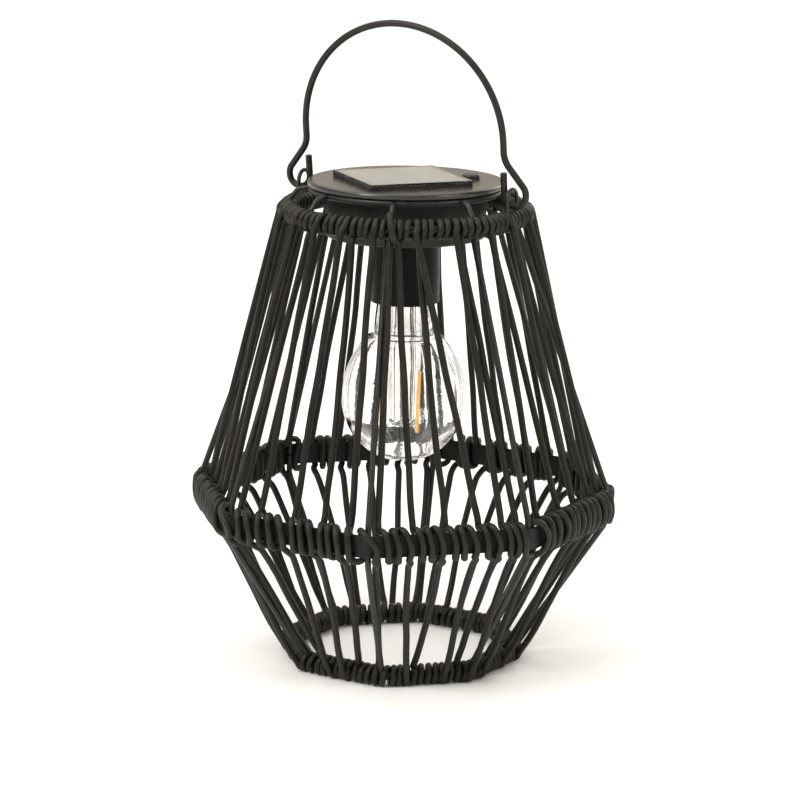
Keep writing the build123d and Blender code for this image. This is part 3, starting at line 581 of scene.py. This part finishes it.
# feet as they lie on the bottom ring: bearing, and whether the cord passes outside the winding or behind it
FEET = {0: (-8.0, "out"), 1: (0.1, "out"), 2: (7.6, "in"), 3: (18.2, "in"), 4: (31.8, "out"), 5: (35.2, "in"), 6: (50.5, "out"),
        7: (57.4, "in"), 8: (62.6, "out"), 41: (-6.2 + 360 - 8.0, "in")}
count = len(UPPER)
for i, (tb, mb, lay) in enumerate(UPPER):
    nxt = (i + 1) % count
    nb = UPPER[nxt][1] + (360 if nxt == 0 else 0)
    d0, d1 = waist.where(mb), waist.where(nb)
    gap = d1 - d0
    corner = waist.corner(math.floor((mb - STRUT0) / 45) + 1) - d0
    lb, side_of = FEET.get(nxt, (LOWER[nxt], ("in", "out")[nxt % 2]))
    if nxt == 0:
        lb += 360
    k = gap / 15.0
    r1, r2, r3, r4, r5, r6 = (rng.random() for _ in range(6))
    if lay == "over":
        turn = round((tb % 360) / 360 * TURNS_TOP)
        head = [top_turn(turn + w, e_) for w, e_ in ((0.44, -0.5), (0.36, 0.0), (0.28, 0.35), (0.20, 0.5), (0.12, 0.6), (0.05, 0.75))]
        hb = 360.0 * (turn + 0.17 * pwob(turn, TURNS_TOP, 0.9, 1)) / TURNS_TOP
        start = at(62.2, hb, 225.4)
        head.append(start.copy())
    else:
        head = [ring_point(3.3, -168, tb + 0.9), ring_point(4.0, -138, tb + 0.6), ring_point(4.9, -105, tb + 0.2)]
        start = at(58.8, tb, 220.9)
        head.append(start.copy())
    mp, mo = waist.out(d0)
    end = mp + mo * (CORD_IN - 1.9) + Vector((0, 0, 92.5))
    sway, sway2 = (r4 - 0.5) * 2.2, (r5 - 0.5) * 1.2
    body = []
    for u in (0.07, 0.2, 0.35, 0.5, 0.65, 0.8, 0.92):
        p = start.lerp(end, u)
        side = Vector((p.y, -p.x, 0)).normalized()
        outw = Vector((p.x, p.y, 0)).normalized()
        p = p + side * (sway * math.sin(math.pi * u) + 0.45 * wob(u * 5 + i, 21)) + outw * (sway2 * math.sin(math.pi * u))
        body.append(p)
    pts = head + body + [end]

    def kn(s, rho, z):
        p, o = waist.out(d0 + s)
        return p + o * rho + Vector((0, 0, z))

    def past(s):
        """Where a pass inside the band goes, clear of the frame wire in the corner."""
        s *= k
        if abs(s - corner) < 3.5:
            s = corner - 3.5 if corner > 8.8 else corner + 3.5
        return s

    double = gap > 12.3 and not -1.0 < corner < gap + 1.0
    if double:
        i1, i2, i3, i4 = 8.9 * k, 8.8 * k, 8.7 * k, 8.7 * k
    else:
        i1, i2, i3, i4 = past(7.6), past(7.0), past(6.2), past(5.9)
    f0 = max(i4, 6.0 * k)
    last = max(d1 - d0 - 2.4, f0 + (3.6 if double else 4.5))
    sag = 1.5 * r1 * r1 * r1
    bow = 0.5 * r3
    knot = [
        kn(0.1, -2.5, 88.6),
        kn(0.5, -1.2, 89.5 + 0.2 * r2),
        kn(1.3, 0.9, 89.6 + 0.2 * r2),
        kn(2.2, 2.6, 88.2),
        kn(2.5 + 0.9 * r4, 3.2 + bow, 85.0),
        kn(2.9 + 0.9 * r4, 3.4 + bow, 81.8),
        kn(3.3 + 0.2 * r4, 3.1 + bow, 78.4),
        kn(3.6, 2.1, 75.9 - 0.3 * sag),
    ]
    if double:
        knot += [
            kn(4.2 * k, 0.3, 75.3 - 0.3 * sag),
            kn(4.7 * k, -1.8, 75.9),
            kn(5.0 * k, -2.7, 78.6),
            kn(5.1 * k, -2.7, 82.6),
            kn(5.2 * k, -2.6, 86.8),
            kn(5.3 * k, -1.2, 89.4),
            kn(5.6 * k, 0.9, 89.8 + 0.4 * r5),
            kn(6.1 * k, 2.6, 88.6),
            kn(6.9 * k, 3.2 + 0.5 * r6, 85.2),
            kn(7.3 * k + 0.5 * r5, 3.3 + 0.5 * r6, 81.6),
            kn(7.4 * k, 3.0, 78.0),
            kn(7.6 * k, 1.9, 75.6 - 0.5 * sag),
            kn(8.2 * k, 0.2, 75.0 - sag),
            kn(8.7 * k, -1.8, 75.6 - 0.6 * sag),
        ]
    else:
        knot += [
            kn(max(5.7, (3.6 + i1) / 2 - 0.6), 0.5, 75.0 - sag),
            kn(max(7.2, i1 - 0.4), -1.5, 75.3 - 0.7 * sag),
        ]
    knot += [
        kn(i1, -2.65, 78.2),
        kn(i2, -2.7, 82.6),
        kn(i3, -2.55, 87.0),
        kn(i4, -1.2, 89.4 + 0.2 * r2),
        kn(f0 + (last - f0) * 0.22, 0.9, 89.8 + 0.5 * r2),
        kn(f0 + (last - f0) * 0.48, 2.6, 88.7 + 0.3 * r2),
        kn(f0 + (last - f0) * 0.82, 3.3 + bow, 85.6),
        kn(last + 0.5 * r6, 3.5 + bow, 81.8),
        kn(last + 0.3 * r6, 3.0, 78.2),
        kn(last - 0.5, 1.9, 75.7),
    ]
    start_low = max(d1 - 1.8, waist.corner(math.floor((nb - STRUT0) / 45)) + 3.4)
    lp, lo_ = waist.out(start_low)
    low0 = lp + lo_ * 0.5 + Vector((0, 0, 74.3 - 0.4 * r5))
    line0 = lp + lo_ * CORD_IN + Vector((0, 0, 79.4))
    foot_r = base_radius(lb)
    linee = at(foot_r + 6.4, lb, 4.4) if side_of == "out" else at(foot_r + 1.6, lb, 8.4)

    def on_line(z, push):
        u = (79.4 - z) / (79.4 - linee.z)
        p = line0.lerp(linee, u)
        q = Vector((p.x, p.y, 0)).normalized()
        side = Vector((p.y, -p.x, 0)).normalized()
        return p + q * push + side * (2.4 * (r6 - 0.5) * math.sin(math.pi * u) + 0.4 * wob(u * 4 + i, 31))

    lowpts = [low0, on_line(71.0, 2.3), on_line(66.5, 1.3), on_line(57.0, 0.5), on_line(44.0, 0.2), on_line(31.0, 0), on_line(20.0, 0)]
    if side_of == "out":
        lowpts += [on_line(12.5, -0.5), on_line(8.0, -1.3), at(foot_r + 4.7, lb + 0.1, 4.6), at(foot_r + 3.7, lb + 0.4, 2.7),
                   at(foot_r + 1.7, lb + 0.9, 1.75)]
    else:
        lowpts += [on_line(14.0, -0.4), at(foot_r + 2.0, lb + 0.2, 10.2), at(foot_r - 0.6, lb + 0.8, 9.0), at(foot_r - 2.6, lb + 1.6, 7.0)]
    raw = pts + knot + lowpts
    fine = smooth(raw, 1.4)

    # find where the three pieces meet
    def nearest(p, frm=0):
        return min(range(frm, len(fine)), key=lambda q: (fine[q] - p).length)

    a = nearest(end)
    b = nearest(low0, a)
    upper.add(fine, sides=12, lo=0, hi=a, seed=i * 1.0)
    knots.add(fine, sides=12, lo=a, hi=b, seed=i * 1.0)
    lower.add(fine, sides=12, lo=b, hi=len(fine) - 1, seed=i * 1.0)

for tubes, name, node in ((upper, "woven_cords_upper", "upper_cords"), (knots, "band_knots", "band_hitches"),
                          (lower, "woven_cords_lower", "lower_cords")):
    o = tubes.make(name, M["cord"], "cage")
    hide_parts(node)
